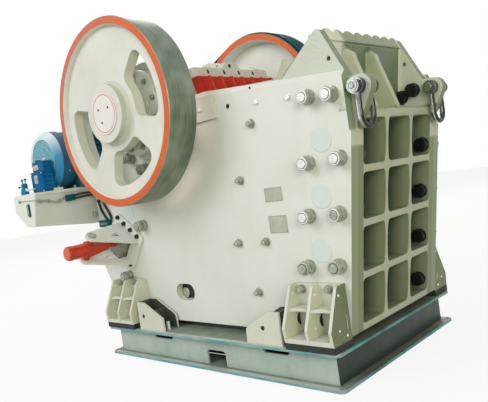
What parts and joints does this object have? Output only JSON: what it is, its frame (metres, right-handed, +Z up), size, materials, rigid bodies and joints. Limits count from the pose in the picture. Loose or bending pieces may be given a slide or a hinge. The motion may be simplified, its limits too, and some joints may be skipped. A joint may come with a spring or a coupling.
{
  "type": "jaw crusher",
  "caption": "Single-toggle jaw crusher on a steel base: bolted frame, flywheels on an eccentric shaft, swing jaw, belt-driven motor, lifting shackles.",
  "frame": {"origin": "centre of the base's underside, midway between the four anchor holes", "axes": "+X along the machine towards the ribbed front end, +Y along the shaft towards the belt side, +Z up"},
  "size_m": [4.762, 2.692, 3.1524],
  "materials": {
    "cream_paint": "two-pack enamel on cast and plate steel",
    "orange_paint": "orange enamel",
    "red_paint": "red primer enamel on manganese castings",
    "machined_steel": "turned and oiled",
    "base_paint": "blue-grey enamel on rolled steel",
    "black_rubber": "moulded rubber",
    "motor_paint": "blue enamel on cast iron",
    "shackle_steel": "galvanised, worn",
    "dark_steel": "dark teal enamel, oiled"
  },
  "bodies": {
    "root": {"base_beam_near": "base_paint", "base_beam_far": "base_paint", "base_beam_front": "base_paint", "base_beam_rear": "base_paint", "rubber_pads": "black_rubber", "stop_buffers": "black_rubber", "foot_front_near": "cream_paint", "foot_front_far": "cream_paint", "foot_rear_near": "cream_paint", "foot_rear_far": "cream_paint", "stop_front_near": "cream_paint", "stop_front_far": "cream_paint", "stop_rear_near": "cream_paint", "stop_rear_far": "cream_paint", "side_plate_near": "cream_paint", "side_plate_far": "cream_paint", "front_end_casting": "cream_paint", "rear_end_casting": "cream_paint", "fixed_jaw_die": "red_paint", "cheek_plate_near": "red_paint", "cheek_plate_far": "red_paint", "toggle_plate": "machined_steel", "toggle_beam": "machined_steel", "adjusting_wedge_near": "machined_steel", "adjusting_wedge_far": "machined_steel", "wedge_cylinder_near": "orange_paint", "wedge_cylinder_far": "orange_paint", "wedge_bracket_near": "cream_paint", "wedge_bracket_far": "cream_paint", "bearing_housing_near": "cream_paint", "bearing_housing_far": "cream_paint", "motor_base": "cream_paint", "motor_frame": "motor_paint", "motor_fan_cowl": "motor_paint", "motor_sheave": "dark_steel", "v_belts": "black_rubber", "hydraulic_unit": "motor_paint"},
    "rotor": {"flywheel_near": "cream_paint", "flywheel_far": "cream_paint", "eccentric_shaft": "machined_steel", "hub_caps": "red_paint"},
    "swing_jaw": {"pitman": "cream_paint", "moving_jaw_die": "red_paint", "jaw_clamp_bar": "cream_paint"},
    "shackle_near": {"shackle_bow_near": "shackle_steel", "shackle_pin_near": "shackle_steel"},
    "shackle_far": {"shackle_bow_far": "shackle_steel", "shackle_pin_far": "shackle_steel"}
  },
  "joints": [
    {"name": "rotor_spin", "type": "hinge", "parent": "root", "child": "rotor", "pos_m": [-0.51, 0, 2.313], "axis": [0, 1, 0], "continuous": true},
    {"name": "jaw_swing", "type": "hinge", "parent": "root", "child": "swing_jaw", "pos_m": [-0.51, 0, 2.313], "axis": [0, 1, 0], "range_deg": [-0.65, 0.65]},
    {"name": "shackle_near_swing", "type": "hinge", "parent": "root", "child": "shackle_near", "pos_m": [1.694, -0.5635, 2.08], "axis": [0, -1, 0], "range_deg": [0, 170]},
    {"name": "shackle_far_swing", "type": "hinge", "parent": "root", "child": "shackle_far", "pos_m": [1.694, 0.5635, 2.08], "axis": [0, -1, 0], "range_deg": [0, 170]}
  ]
}
